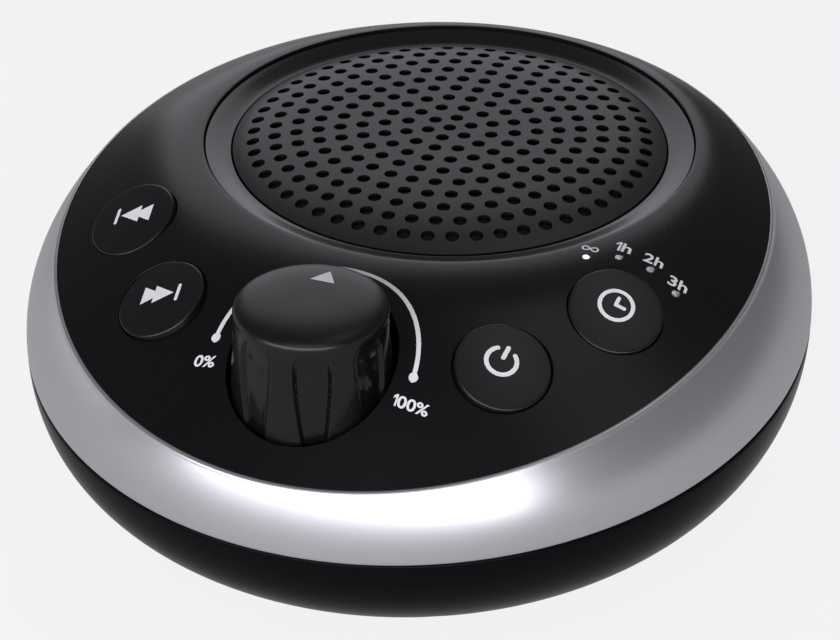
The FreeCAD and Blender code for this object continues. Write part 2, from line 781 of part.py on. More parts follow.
parts = {
    "base_shell": make_base_shell,
    "silver_band": make_silver_band,
    "top_shell": make_top_shell,
    "bezel_ring": make_bezel_ring,
    "speaker_grille": make_speaker_grille,
    "grille_cloth": make_grille_cloth,
    "speaker_gasket": make_gasket,
    "speaker_frame": make_speaker_frame,
    "speaker_surround": make_speaker_surround,
    "speaker_cone": make_speaker_cone,
    "dust_cap": make_dust_cap,
    "voice_coil": make_voice_coil,
    "speaker_spider": make_spider,
    "magnet_top_plate": make_magnet_top_plate,
    "speaker_magnet": make_speaker_magnet,
    "magnet_back_plate": make_magnet_back_plate,
    "speaker_screws": make_speaker_screws,
    "volume_knob": make_volume_knob,
    "potentiometer_shaft": make_shaft,
    "volume_potentiometer": make_potentiometer,
    "potentiometer_washer": make_washer,
    "potentiometer_nut": make_nut,
    "volume_board": make_volume_board,
    "timer_light_guide": make_light_guide,
    "timer_lights": make_lights,
    "main_board": make_main_board,
    "main_processor": make_processor,
    "amplifier_chip": make_amplifier,
    "capacitors": make_capacitors,
    "board_connectors": make_connectors,
    "usb_socket": make_usb_socket,
    "board_screws": make_board_screws,
    "case_screws": make_case_screws,
    "button_board_screws": make_button_board_screws,
}
for name in buttons:
    parts[name + "_button"] = lambda name=name: make_button(name)
    parts[name + "_plunger"] = lambda name=name: make_plunger(name)
    parts[name + "_switch"] = lambda name=name: make_switch(name)
parts["button_board_right"] = lambda: make_button_board(1)
parts["button_board_left"] = lambda: make_button_board(-1)
for index, place in enumerate(foot_places):
    parts["rubber_foot_%d" % (index + 1)] = lambda place=place: make_foot(place)

os.makedirs("parts", exist_ok=True)
for name, make in parts.items():
    shape = make()
    solids = shape.Solids
    print(name, len(solids), "valid" if shape.isValid() else "INVALID", round(shape.Volume, 1))
    shape.exportStep("parts/" + name + ".step")
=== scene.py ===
import json
import math
import bmesh
import bpy
from mathutils import Matrix, Vector
from mathutils.bvhtree import BVHTree


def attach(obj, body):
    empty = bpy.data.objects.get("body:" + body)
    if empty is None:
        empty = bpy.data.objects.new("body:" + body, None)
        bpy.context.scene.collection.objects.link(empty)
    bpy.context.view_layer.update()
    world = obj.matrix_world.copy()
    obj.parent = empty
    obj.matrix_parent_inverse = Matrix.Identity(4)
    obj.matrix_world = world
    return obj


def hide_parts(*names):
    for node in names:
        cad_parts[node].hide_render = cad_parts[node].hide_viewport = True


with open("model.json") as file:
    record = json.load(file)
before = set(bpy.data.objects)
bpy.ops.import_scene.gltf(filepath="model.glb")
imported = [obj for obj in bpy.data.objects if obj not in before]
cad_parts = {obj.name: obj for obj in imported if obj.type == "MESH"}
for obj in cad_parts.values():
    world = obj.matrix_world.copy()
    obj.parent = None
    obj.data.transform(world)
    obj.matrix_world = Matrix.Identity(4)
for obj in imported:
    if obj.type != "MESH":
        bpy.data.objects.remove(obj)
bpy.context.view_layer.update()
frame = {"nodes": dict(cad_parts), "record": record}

# Sizes in millimetres. The body's oval sections are those of the solid model.
MM = 0.001
parting = {"half_width": 56.8, "half_length": 59.1, "height": 26.6, "rise": 0.074}
bowl_depth = 30.9
bowl_roundness = 2.23
trim = {"half_width": 50.3, "half_length": 55.0, "centre": -2.2, "height": 41.4, "rise": 0.125}
trim_sag = 0.5 / 555.0        # dip of the trim's ends, per square millimetre of length
band_roundness = 2.16
ring_centre = 12.9
ring_radius = 35.9
ring_height = 47.0
bezel_gap = 0.14
foot_height = 1.2
wall = 2.0
edge_round = 0.35             # small rounding along every moulded edge
around = 256                  # points round each oval

foot_radius = 5.0
foot_places = ((-21, -22), (21, -22), (-21, 22), (21, 22))
screw_places = ((-19, -46.5), (19, -46.5), (-32, 33.5), (32, 33.5))
socket_height = 12.63
pocket_size = (7.0, 4.0, 1.6)       # half width, half height and corner radius
pocket_floor_y = 50.0
socket_mouth_size = (4.6, 1.75, 1.74)

grille_radius = 31.8
grille_top = 48.0
grille_edge = 45.85
hole_pitch = 3.2
hole_rings = 9
hole_radius = 0.95
plate_thickness = 0.7

knob_y = -41.2
well_radius = 11.3
well_floor = 32.6
well_lip = 0.14
knob_top = 50.7
knob_crown_radius = 10.2      # where the rounded top turns into the side
knob_crown_drop = 2.3
knob_crown_power = 3.2
knob_foot_radius = 10.95
knob_bottom = 33.4
flute_count = 8
flute_depth = 0.55
flute_half_width = 2.5
flute_start = 2.3             # depth below the knob's top where each flute's arch begins
flute_arch = 2.2              # length of the arch
flute_side = math.radians(112.5)    # direction of the first flute from the knob's middle
flute_groove = 0.8            # depth of the groove along a flute's edge, as a share of the flute's depth

button_radius = 6.45
button_gap = 0.13
button_lip = 0.14
button_proud = 0.6
button_crown = 60.0
button_flange_radius = 7.5
power_place = Vector((24.28, -35.45, 41.62))
timer_place = Vector((35.23, -21.05, 43.97))
button_axis = Vector((0.297, -0.373, 0.879)).normalized()

light_centre = (35.15, -21.7)
light_arc_radius = 10.4
light_radius = 0.47
light_angles = (128.0, 103.3, 78.7, 54.0)

ink_lift = 0.035              # the print lies just above what it is printed on
sign_rise = 0.55              # the signs sit a little above the middle of each button
sign_shift = {"power": -0.5, "timer": -0.3, "previous": 0.35}
line = 0.62                   # width of the power sign's line
hand_line = 0.52              # width of the clock's hands
clock_radius = 2.27
clock_half_line = 0.28
scale_radius = 13.9
scale_line = 0.6
pointer_tip = 6.9             # distance of the pointer's tip from the knob's middle
pointer_length = 2.9
pointer_half_width = 1.7
loop_width = 0.26
loop_reach = 1.08             # half the width of the endless sign

camera_side = 19.9            # degrees from the front to the camera


# Materials

def new_material(name, colour, metallic=0.0, roughness=0.5, coat=0.0, grain_size=0.4, grain_depth=0.02,
                 colour_spread=0.06, roughness_spread=0.05, clear=False, emission=0.0, specular=0.5):
    """A moulded, painted or metal surface with a fine grain in its bump, colour and roughness."""
    mat = bpy.data.materials.new(name)
    mat.use_nodes = True
    nodes = mat.node_tree.nodes
    links = mat.node_tree.links
    shader = nodes["Principled BSDF"]
    place = nodes.new("ShaderNodeTexCoord")
    grain = nodes.new("ShaderNodeTexNoise")
    grain.inputs["Scale"].default_value = 1.0 / (grain_size * MM)
    grain.inputs["Detail"].default_value = 3.0
    links.new(place.outputs["Object"], grain.inputs["Vector"])
    cloud = nodes.new("ShaderNodeTexNoise")
    cloud.inputs["Scale"].default_value = 60.0
    links.new(place.outputs["Object"], cloud.inputs["Vector"])
    tint = nodes.new("ShaderNodeMix")
    tint.data_type = "RGBA"
    tint.inputs["A"].default_value = [c * (1 - colour_spread) for c in colour] + [1]
    tint.inputs["B"].default_value = [min(1.0, c * (1 + colour_spread)) for c in colour] + [1]
    links.new(cloud.outputs["Fac"], tint.inputs["Factor"])
    links.new(tint.outputs["Result"], shader.inputs["Base Color"])
    rough = nodes.new("ShaderNodeMapRange")
    rough.inputs["To Min"].default_value = max(0.0, roughness - roughness_spread)
    rough.inputs["To Max"].default_value = roughness + roughness_spread
    links.new(grain.outputs["Fac"], rough.inputs["Value"])
    links.new(rough.outputs["Result"], shader.inputs["Roughness"])
    bump = nodes.new("ShaderNodeBump")
    bump.inputs["Strength"].default_value = 0.5
    bump.inputs["Distance"].default_value = grain_depth * MM
    links.new(grain.outputs["Fac"], bump.inputs["Height"])
    links.new(bump.outputs["Normal"], shader.inputs["Normal"])
    shader.inputs["Metallic"].default_value = metallic
    shader.inputs["Coat Weight"].default_value = coat
    shader.inputs["Coat Roughness"].default_value = 0.05
    shader.inputs["Specular IOR Level"].default_value = specular
    if clear:
        shader.inputs["Transmission Weight"].default_value = 0.9
    if emission:
        shader.inputs["Emission Color"].default_value = list(colour) + [1]
        shader.inputs["Emission Strength"].default_value = emission
    return mat


satin_black = new_material("satin_black", (0.0034, 0.0034, 0.0044), roughness=0.27, grain_size=0.25,
                           grain_depth=0.0005, roughness_spread=0.03, specular=0.28)
gloss_black = new_material("gloss_black", (0.003, 0.003, 0.0036), roughness=0.2, grain_size=1.5,
                           grain_depth=0.002, roughness_spread=0.03, specular=0.05)
silver = new_material("silver_satin", (0.55, 0.55, 0.58), metallic=0.85, roughness=0.31, grain_size=0.12,
                      grain_depth=0.003, colour_spread=0.03, roughness_spread=0.05)
bezel_gloss = new_material("bezel_gloss", (0.005, 0.005, 0.006), roughness=0.19, grain_size=2.0,
                           grain_depth=0.001, roughness_spread=0.02, specular=0.42)
grille_paint = new_material("grille_black", (0.026, 0.026, 0.029), metallic=0.2, roughness=0.4,
                            grain_size=0.15, grain_depth=0.005, specular=0.35)
knob_gloss = new_material("knob_gloss", (0.004, 0.004, 0.0048), roughness=0.17, grain_size=1.2,
                          grain_depth=0.002, roughness_spread=0.02, specular=0.35)
button_satin = new_material("button_satin", (0.005, 0.005, 0.0065), roughness=0.32, grain_size=0.2,
                            grain_depth=0.004, specular=0.4)
ink = new_material("white_ink", (0.8, 0.8, 0.82), roughness=0.5, grain_size=0.3, grain_depth=0.003,
                   colour_spread=0.02)
lamp_on = new_material("lamp_on", (0.95, 0.96, 1.0), roughness=0.3, emission=0.9)
lamp_off = new_material("lamp_off", (0.6, 0.61, 0.66), roughness=0.3, specular=0.4)
# Painted shade: the grille's hole walls are near-black, far darker than the grille's own paint, so that the
# holes read dark
hole_wall_painted_shade = new_material("hole_wall_painted_shade", (0.002, 0.002, 0.0025), roughness=0.6, grain_size=0.2,
                          grain_depth=0.01, specular=0.1)
cloth_black = new_material("cloth_black", (0.016, 0.016, 0.018), roughness=0.85, grain_size=0.3,
                           grain_depth=0.06, specular=0.15)
rubber = new_material("foot_rubber", (0.02, 0.02, 0.021), roughness=0.7, grain_size=0.3, grain_depth=0.02)

slot_looks = {
    "acoustic_cloth": dict(colour=(0.008, 0.008, 0.008), roughness=0.9, grain_size=0.5, grain_depth=0.1),
    "foam": dict(colour=(0.03, 0.03, 0.03), roughness=0.85, grain_size=0.5, grain_depth=0.1),
    "steel_frame": dict(colour=(0.08, 0.08, 0.085), metallic=0.5, roughness=0.45),
    "surround_rubber": dict(colour=(0.02, 0.02, 0.02), roughness=0.55),
    "cone_paper": dict(colour=(0.045, 0.045, 0.045), roughness=0.8, grain_size=0.8, grain_depth=0.08),
    "copper": dict(colour=(0.75, 0.36, 0.17), metallic=1.0, roughness=0.25, grain_size=0.2),
    "spider_cloth": dict(colour=(0.6, 0.42, 0.2), roughness=0.75, grain_size=0.5, grain_depth=0.1),
    "zinc_steel": dict(colour=(0.62, 0.62, 0.64), metallic=1.0, roughness=0.32),
    "ferrite": dict(colour=(0.06, 0.06, 0.065), roughness=0.55, grain_size=0.6, grain_depth=0.03),
    "screw_steel": dict(colour=(0.5, 0.5, 0.52), metallic=1.0, roughness=0.28),
    "shaft_metal": dict(colour=(0.7, 0.7, 0.7), metallic=1.0, roughness=0.3),
    "circuit_board": dict(colour=(0.02, 0.14, 0.06), roughness=0.35, coat=0.4, colour_spread=0.25),
    "clear_plastic": dict(colour=(0.85, 0.85, 0.88), roughness=0.12, clear=True),
    "lamp_plastic": dict(colour=(0.9, 0.9, 0.85), roughness=0.3),
    "chip_plastic": dict(colour=(0.02, 0.02, 0.02), roughness=0.5),
    "capacitor_can": dict(colour=(0.5, 0.5, 0.53), metallic=0.9, roughness=0.3),
    "connector_plastic": dict(colour=(0.78, 0.75, 0.66), roughness=0.45),
    "socket_steel": dict(colour=(0.72, 0.72, 0.74), metallic=1.0, roughness=0.22),
    "plunger_plastic": dict(colour=(0.05, 0.05, 0.05), roughness=0.35),
    "switch_steel": dict(colour=(0.55, 0.55, 0.57), metallic=1.0, roughness=0.3),
    "foot_rubber": dict(colour=(0.02, 0.02, 0.021), roughness=0.7),
}
node_materials = {name: new_material("cad_" + name, **look) for name, look in slot_looks.items()}
node_materials.update({"gloss_black": gloss_black, "silver_satin": silver, "satin_black": satin_black,
                       "gloss_bezel": bezel_gloss, "grille_black": grille_paint,
                       "knob_plastic": knob_gloss, "button_plastic": button_satin})
for sub in frame["record"]["subparts"]:
    node = frame["nodes"][sub["node"]]
    node.data.materials.clear()
    node.data.materials.append(node_materials[sub["material_slot"]])


# Mesh helpers

def add_object(name, data):
    """A new object, placed in the scene."""
    obj = bpy.data.objects.new(name, data)
    bpy.context.scene.collection.objects.link(obj)
    return obj


def baked_mesh(obj):
    """A new mesh of an object as its modifiers or its curve settings leave it."""
    depsgraph = bpy.context.evaluated_depsgraph_get()
    return bpy.data.meshes.new_from_object(obj.evaluated_get(depsgraph))


def piece(name, points, faces, material, body, slot, smooth=True):
    """A mesh object from points in millimetres, riding on a body."""
    mesh = bpy.data.meshes.new(name)
    mesh.from_pydata([Vector(p) * MM for p in points], [], faces)
    mesh.validate()
    mesh.materials.append(material)
    if smooth:
        mesh.polygons.foreach_set("use_smooth", [True] * len(mesh.polygons))
    mesh.update()
    obj = add_object(name, mesh)
    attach(obj, body)
    return obj


def skin(rows, closed=False):
    """Quads between rows of points, each row a loop. The last row joins the first where it is closed."""
    count = len(rows[0])
    points = [p for row in rows for p in row]
    faces = []
    last = len(rows) if closed else len(rows) - 1
    for r in range(last):
        low = r * count
        high = ((r + 1) % len(rows)) * count
        for i in range(count):
            j = (i + 1) % count
            faces.append((low + i, low + j, high + j, high + i))
    return points, faces


def lathe(profile, centre, axis=Vector((0, 0, 1)), segments=128, cap=True):
    """Turns (radius, height) points round an axis through a centre."""
    across = axis.orthogonal().normalized()
    other = axis.cross(across)
    rows = []
    for r, h in profile:
        row = []
        for i in range(segments):
            a = 2 * math.pi * i / segments
            row.append(centre + axis * h + across * (r * math.cos(a)) + other * (r * math.sin(a)))
        rows.append(row)
    points, faces = skin(rows)
    if cap:
        faces.append(tuple(range(segments))[::-1])
        start = (len(rows) - 1) * segments
        faces.append(tuple(range(start, start + segments)))
    return points, faces


def arc(radius, start, end, steps, centre=(0.0, 0.0)):
    """Points of an arc in (radius, height), angles in degrees."""
    points = []
    for i in range(steps + 1):
        a = math.radians(start + (end - start) * i / steps)
        points.append((centre[0] + radius * math.cos(a), centre[1] + radius * math.sin(a)))
    return points


def roll_steps(radius, angles):
    """How far an edge has rolled in and along at each angle of its rounding, in degrees."""
    return [(radius * (1 - math.cos(math.radians(a))), radius * math.sin(math.radians(a))) for a in angles]


def sharpen(obj, degrees=35):
    """Keeps edges crisp where faces meet at more than this angle."""
    obj.data.set_sharp_from_angle(angle=math.radians(degrees))


# The oval sections of the body

def oval(half_width, half_length, centre, height, rise=0.0, sag=0.0):
    """One section of the body, whose plane tips up towards the back and sags in a curve."""
    row = []
    for i in range(around):
        a = 2 * math.pi * i / around
        y = half_length * math.sin(a)
        row.append(Vector((half_width * math.cos(a), centre + y, height + rise * y - sag * y * y)))
    return row


def bowl_row(drop, inset=0.0, extra=0.0):
    share = max(0.0, 1 - (drop / bowl_depth) ** bowl_roundness) ** (1 / bowl_roundness)
    return oval(parting["half_width"] * share - inset, parting["half_length"] * share - inset, 0.0,
                parting["height"] - drop + extra, parting["rise"] * (1 - drop / bowl_depth))


def band_row(step, inset=0.0, extra=0.0):
    inward = step ** band_roundness
    width = parting["half_width"] + (trim["half_width"] - parting["half_width"]) * inward
    length = parting["half_length"] + (trim["half_length"] - parting["half_length"]) * inward
    height = parting["height"] + (trim["height"] - parting["height"]) * step
    rise = parting["rise"] + (trim["rise"] - parting["rise"]) * step
    return oval(width - inset, length - inset, trim["centre"] * inward, height + extra, rise, trim_sag * step)


def dome_row(inward, inset=0.0, extra=0.0):
    climb = 1 - (1 - inward) ** (1.5 + 0.5 * inward)
    width = trim["half_width"] + (ring_radius - trim["half_width"]) * inward
    length = trim["half_length"] + (ring_radius - trim["half_length"]) * inward
    centre = trim["centre"] + (ring_centre - trim["centre"]) * inward
    height = trim["height"] + (ring_height - trim["height"]) * climb
    narrowing = trim["half_length"] / length
    return oval(width - inset, length - inset, centre, height + extra,
                trim["rise"] * (1 - climb) * narrowing, trim_sag * (1 - climb) * narrowing ** 2)


# Base bowl

def cut_away(obj, points, faces):
    """Cuts a closed solid, given in millimetres, out of an object."""
    mesh = bpy.data.meshes.new("cutter")
    mesh.from_pydata([Vector(p) * MM for p in points], [], faces)
    cutter = add_object("cutter", mesh)
    modifier = obj.modifiers.new("cut", "BOOLEAN")
    modifier.operation = "DIFFERENCE"
    modifier.solver = "EXACT"
    modifier.object = cutter
    result = baked_mesh(obj)
    obj.modifiers.clear()
    old = obj.data
    obj.data = result
    bpy.data.meshes.remove(old)
    bpy.data.objects.remove(cutter)


def bar_outline(half_width, half_height, radius, steps=6):
    """A rectangle with round corners, as (x, z) points."""
    points = []
    for sx, sz, start in ((1, 1, 0), (-1, 1, 90), (-1, -1, 180), (1, -1, 270)):
        for i in range(steps + 1):
            a = math.radians(start + 90.0 * i / steps)
            points.append((sx * (half_width - radius) + radius * math.cos(a),
                           sz * (half_height - radius) + radius * math.sin(a)))
    return points


def prism(outline, y0, y1, height):
    """A bar of an (x, z) outline from y0 to y1."""
    count = len(outline)
    points = [Vector((x, y, height + z)) for y in (y0, y1) for x, z in outline]
    faces = [(i, (i + 1) % count, count + (i + 1) % count, count + i) for i in range(count)]
    faces.append(tuple(range(count))[::-1])
    faces.append(tuple(range(count, 2 * count)))
    return points, faces


flat_drop = parting["height"] - foot_height


def flat_half_sizes(inset):
    """Half width and half length of the flat underside."""
    share = (1 - (flat_drop / bowl_depth) ** bowl_roundness) ** (1 / bowl_roundness)
    return parting["half_width"] * share - inset, parting["half_length"] * share - inset


def make_base():
    """The bowl with its outside, its flat underside and its inside, and the wells that are cut into it."""
    drops = [bowl_depth * (1 - (1 - i / 56) ** 1.5) for i in range(57)]
    drops = [d for d in drops if d < flat_drop - 0.2]
    outside = [bowl_row(edge_round, edge_round * 0.9, edge_round * 0.9)]
    outside += [bowl_row(edge_round, inset, along) for inset, along in roll_steps(edge_round, (60, 40, 20))]
    outside += [bowl_row(d) for d in drops if d > edge_round]
    outside.append(oval(*flat_half_sizes(0.0), 0.0, foot_height))
    for share in (0.94, 0.6, 0.2):
        width, length = flat_half_sizes(0.0)
        outside.append(oval(width * share, length * share, 0.0, foot_height))
    inside = []
    for share in (0.2, 0.9):
        width, length = flat_half_sizes(wall)
        inside.append(oval(width * share, length * share, 0.0, foot_height + wall))
    inside += [bowl_row(d, wall) for d in drops[::-4] if d < flat_drop - wall - 1]
    inside.append(bowl_row(0.0, wall))
    points, faces = skin(outside + inside, closed=True)
    base = piece("base_bowl", points, faces, gloss_black, "housing", "gloss_black")
    for x, y in foot_places:
        cut_away(base, *lathe([(foot_radius + 0.15, -2.0), (foot_radius + 0.15, foot_height + 0.8)],
                              Vector((x, y, 0)), segments=64))
    for x, y in screw_places:
        cut_away(base, *lathe([(2.3, -2.0), (2.3, 13.5)], Vector((x, y, 0)), segments=48))
    cut_away(base, *prism(bar_outline(*pocket_size), pocket_floor_y, pocket_floor_y + 20, socket_height))
    sharpen(base)
    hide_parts("base_shell")


make_base()


# Socket pocket behind and feet; the screw wells are cut into the bowl above

def make_pocket():
    """The wall and the floor of the pocket that the charging socket looks out of."""
    outline = bar_outline(*pocket_size)
    mouth = bar_outline(*socket_mouth_size, steps=8)
    points, faces = prism(outline, pocket_floor_y, pocket_floor_y + 1.5, socket_height)
    faces = [f for f in faces if len(f) == 4]
    liner = piece("socket_pocket_wall", points, faces, gloss_black, "housing", "gloss_black")
    sharpen(liner)
    rings = ((outline, pocket_floor_y), (mouth, pocket_floor_y), (mouth, pocket_floor_y - 2.0))
    points = [Vector((x, y, socket_height + z)) for ring, y in rings for x, z in ring]
    count = len(outline)
    steps = len(mouth)
    ratio = steps / count
    plate = []
    for i in range(steps):
        j = (i + 1) % steps
        near = int(i / ratio)
        far = int(j / ratio)
        plate.append((count + i, near, far, count + j) if near != far else (count + i, near, count + j))
        plate.append((count + i, count + j, count + steps + j, count + steps + i))
    piece("socket_pocket_face", points, plate, gloss_black, "housing", "gloss_black", smooth=False)


def make_foot(number, x, y):
    """A round rubber pad with a shallow hollow under it."""
    profile = [(foot_radius, foot_height + 0.8), (foot_radius, 0.5)]
    profile += arc(0.5, 0, -90, 5, (foot_radius - 0.5, 0.5)) + [(3.2, 0.0), (3.0, 0.12), (0.4, 0.12)]
    foot = piece("foot_pad_%d" % number, *lathe(profile, Vector((x, y, 0)), segments=96), rubber,
                 "housing", "foot_rubber")
    sharpen(foot, 50)
    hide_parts("rubber_foot_%d" % number)


make_pocket()
for index, (x, y) in enumerate(foot_places):
    make_foot(index + 1, x, y)


# Silver band

def make_band():
    """The band's rounded lower edge, its bulging outside, its rounded upper edge and its inner wall."""
    rows = [band_row(0.04, inset, -along) for inset, along in roll_steps(edge_round, (90, 67.5, 45, 22.5, 0))]
    rows += [band_row(0.04 + 0.94 * i / 30) for i in range(1, 30)]
    rows += [band_row(0.975, inset, along) for inset, along in roll_steps(edge_round, (0, 25, 50, 75, 90))]
    rows.append(band_row(0.975, 1.6, edge_round))
    rows += [band_row(0.9 - 0.8 * i / 6, wall) for i in range(7)]
    points, faces = skin(rows, closed=True)
    band = piece("silver_side_band", points, faces, silver, "housing", "silver_satin")
    sharpen(band, 50)
    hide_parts("silver_band")


make_band()


# Top shell

def mirrored(v):
    return Vector((-v.x, v.y, v.z))


button_frames = {"power": (power_place, button_axis), "timer": (timer_place, button_axis),
                 "next": (mirrored(power_place), mirrored(button_axis)),
                 "previous": (mirrored(timer_place), mirrored(button_axis))}


def light_places(surface):
    """Each light's point on the shell and the shell's normal there."""
    places = []
    for degrees in light_angles:
        a = math.radians(degrees)
        x = light_centre[0] + light_arc_radius * math.cos(a)
        y = light_centre[1] + light_arc_radius * math.sin(a)
        place, normal = surface.ray_cast(Vector((x, y, 80.0)), Vector((0, 0, -1)))[:2]
        places.append((place, normal if normal.z > 0 else -normal))
    return places


def make_shell():
    """The upper shell with its well and openings. It returns a tree of its faces, for ray casts."""
    outer = [dome_row(0.012, inset, -along) for inset, along in roll_steps(edge_round, (90, 65, 40, 20))]
    outer += [dome_row(0.012 + 0.97 * (i / 60)) for i in range(61)]
    outer += [dome_row(0.995, 0.0, -0.06), dome_row(1.0, 0.0, -0.3), dome_row(1.0, 0.0, -3.0)]
    inner = [dome_row(1.0, -1.8, -3.0)] + [dome_row(0.9 - 0.85 * i / 12, 2.0, -1.8) for i in range(13)]
    points, faces = skin(outer + inner, closed=True)
    shell = piece("upper_shell", points, faces, satin_black, "housing", "satin_black")
    surface = BVHTree.FromPolygons([Vector(p) for p in points], faces)
    opening = well_radius + well_lip
    cut_away(shell, *lathe([(opening, 20.0), (opening, 60.0)], Vector((0, knob_y, 0)), segments=160))
    opening = button_radius + button_gap + button_lip
    for place, axis in button_frames.values():
        cut_away(shell, *lathe([(opening, -12.0), (opening, 6.0)], place, axis, segments=160))
    opening = light_radius + 0.03
    for place, axis in light_places(surface):
        cut_away(shell, *lathe([(opening, -6.0), (opening, 4.0)], place, axis, segments=32))
    sharpen(shell)
    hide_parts("top_shell")
    return surface


surface = make_shell()


def make_rim(name, centre, axis, radius, lip, depth, segments=160):
    """The rounded lip and the wall of a hole through the shell."""
    across = axis.orthogonal().normalized()
    other = axis.cross(across)
    rolls = [math.radians(90.0 * k / 6) for k in range(7)]
    rows = [[] for _ in range(len(rolls) + 1)]
    for i in range(segments):
        a = 2 * math.pi * i / segments
        out = across * math.cos(a) + other * math.sin(a)
        start = centre + out * (radius + lip) + axis * 100.0
        hit = surface.ray_cast(start, -axis)[0]
        level = (hit - centre).dot(axis)
        for row, roll in zip(rows, rolls):
            row.append(centre + out * (radius + lip * (1 - math.sin(roll)))
                       + axis * (level - lip * (1 - math.cos(roll))))
        rows[-1].append(centre + out * radius + axis * depth)
    rim = piece(name, *skin(rows), satin_black, "housing", "satin_black")
    sharpen(rim, 60)


make_rim("knob_well_lip", Vector((0, knob_y, 0)), Vector((0, 0, 1)), well_radius, well_lip, well_floor, 220)
for name, (place, axis) in button_frames.items():
    make_rim(name + "_button_lip", place, axis, button_radius + button_gap, button_lip, -5.0)
well_bottom = lathe([(well_radius, well_floor), (3.6, well_floor)], Vector((0, knob_y, 0)), cap=False)
piece("knob_well_floor", *well_bottom, satin_black, "housing", "satin_black")


# Bezel ring

def make_bezel():
    """A ring that slopes down from the seam with the shell to the grille."""
    outer = ring_radius - bezel_gap
    profile = [(outer, 43.7), (outer, 46.38)] + arc(0.12, 0, 108, 5, (outer - 0.12, 46.4))
    profile += [(34.4, 46.08), (33.2, 45.72)] + arc(0.15, 72, 180, 4, (32.15, 45.25)) + [(32.0, 43.9)]
    ring = lathe(profile, Vector((0, ring_centre, 0)), segments=256, cap=False)
    bezel = piece("bezel", *ring, bezel_gloss, "housing", "gloss_bezel")
    sharpen(bezel, 50)
    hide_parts("bezel_ring")


make_bezel()


# Grille

def grille_drop(r):
    """How far the grille's crown has come down at a radius."""
    share = min(1.0, r / grille_radius)
    return (grille_top - grille_edge) * (0.16 * share ** 2 + 0.74 * share ** 5 + 0.26 * share ** 14)


def dome_normal(point):
    """The normal of the grille's crown at a point, in metres."""
    x, y = point.x / MM, point.y / MM - ring_centre
    r = math.hypot(x, y)
    slope = (grille_drop(r + 0.1) - grille_drop(max(0.0, r - 0.1))) / (0.2 if r > 0.1 else r + 0.1)
    out = Vector((x, y, 0)).normalized() if r > 0.01 else Vector((0, 0, 0))
    return (Vector((0, 0, 1)) + out * slope).normalized()


def smooth_dome(mesh):
    """Gives the plate's broad faces the true normals of the dome."""
    normals = [Vector(n.vector) for n in mesh.corner_normals]
    for face in mesh.polygons:
        if abs(face.normal.z) > 0.8:
            sign = 1 if face.normal.z > 0 else -1
            for loop in face.loop_indices:
                corner = mesh.vertices[mesh.loops[loop].vertex_index].co
                normals[loop] = dome_normal(corner) * sign
    mesh.normals_split_custom_set(normals)


def is_flat(face):
    return abs(face.normal.z) > 0.99


def inner_flat_edges(work):
    return [e for e in work.edges if len(e.link_faces) == 2 and all(is_flat(f) for f in e.link_faces)]


def split_long_edges(mesh, longest):
    """Adds points inside the flat faces, so that the plate bends smoothly."""
    work = bmesh.new()
    work.from_mesh(mesh)
    for _ in range(3):
        long_edges = [e for e in inner_flat_edges(work) if e.calc_length() > longest]
        bmesh.ops.subdivide_edges(work, edges=long_edges, cuts=1)
        bmesh.ops.triangulate(work, faces=[f for f in work.faces if is_flat(f)])
        flat = [f for f in work.faces if is_flat(f)]
        bmesh.ops.beautify_fill(work, faces=flat, edges=inner_flat_edges(work))
    work.to_mesh(mesh)
    work.free()


def make_grille():
    """A flat plate filled between circles, with rounded hole edges, then bent to the dome."""
    edge = 0.07
    curve = bpy.data.curves.new("plate", "CURVE")
    curve.dimensions = "2D"
    curve.fill_mode = "BOTH"
    curve.extrude = (plate_thickness / 2 - edge) * MM
    curve.bevel_depth = edge * MM
    curve.bevel_resolution = 1
    circles = [(0.0, 0.0, grille_radius - edge, 192)]
    for ring in range(hole_rings + 1):
        in_ring = max(1, 6 * ring)
        for step in range(in_ring):
            a = math.pi / 2 + 2 * math.pi * step / in_ring
            x, y = ring * hole_pitch * math.cos(a), ring * hole_pitch * math.sin(a)
            circles.append((x, y, hole_radius + edge, 24))
    for x, y, radius, count in circles:
        spline = curve.splines.new("POLY")
        spline.points.add(count - 1)
        for i, point in enumerate(spline.points):
            a = 2 * math.pi * i / count
            point.co = ((x + radius * math.cos(a)) * MM, (y + radius * math.sin(a)) * MM, 0, 1)
        spline.use_cyclic_u = True
    flat = add_object("plate", curve)
    mesh = baked_mesh(flat)
    bpy.data.objects.remove(flat)
    split_long_edges(mesh, 0.9 * MM)
    points = []
    for v in mesh.vertices:
        p = v.co / MM
        z = grille_top - plate_thickness / 2 + p.z - grille_drop(math.hypot(p.x, p.y))
        points.append(Vector((p.x, p.y + ring_centre, z)))
    sheet = [tuple(poly.vertices) for poly in mesh.polygons if abs(poly.normal.z) > 0.4]
    walls = [tuple(poly.vertices) for poly in mesh.polygons if abs(poly.normal.z) <= 0.4]
    grille = piece("perforated_grille", points, sheet, grille_paint, "housing", "grille_black")
    sharpen(grille, 40)
    smooth_dome(grille.data)
    # The hole walls take the near-black material, which is painted shade inside the holes
    piece("grille_hole_walls", points, walls, hole_wall_painted_shade, "housing", "grille_black")
    cloth_level = grille_top - plate_thickness - 0.25
    radii = [30.6 * i / 24 for i in range(25)]
    profile = [(max(r, 0.02), cloth_level - grille_drop(r)) for r in radii[::-1]]
    cloth = piece("speaker_cloth", *lathe(profile, Vector((0, ring_centre, 0)), segments=96), cloth_black,
                  "housing", "grille_black")
    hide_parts("grille_cloth")
    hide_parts("speaker_grille")


make_grille()


# Volume knob

def crown_height(r):
    """The height of the knob's rounded top at a radius."""
    share = min(1.0, r / knob_crown_radius)
    return knob_top - knob_crown_drop * (1 - (1 - share ** knob_crown_power) ** (1 / knob_crown_power))


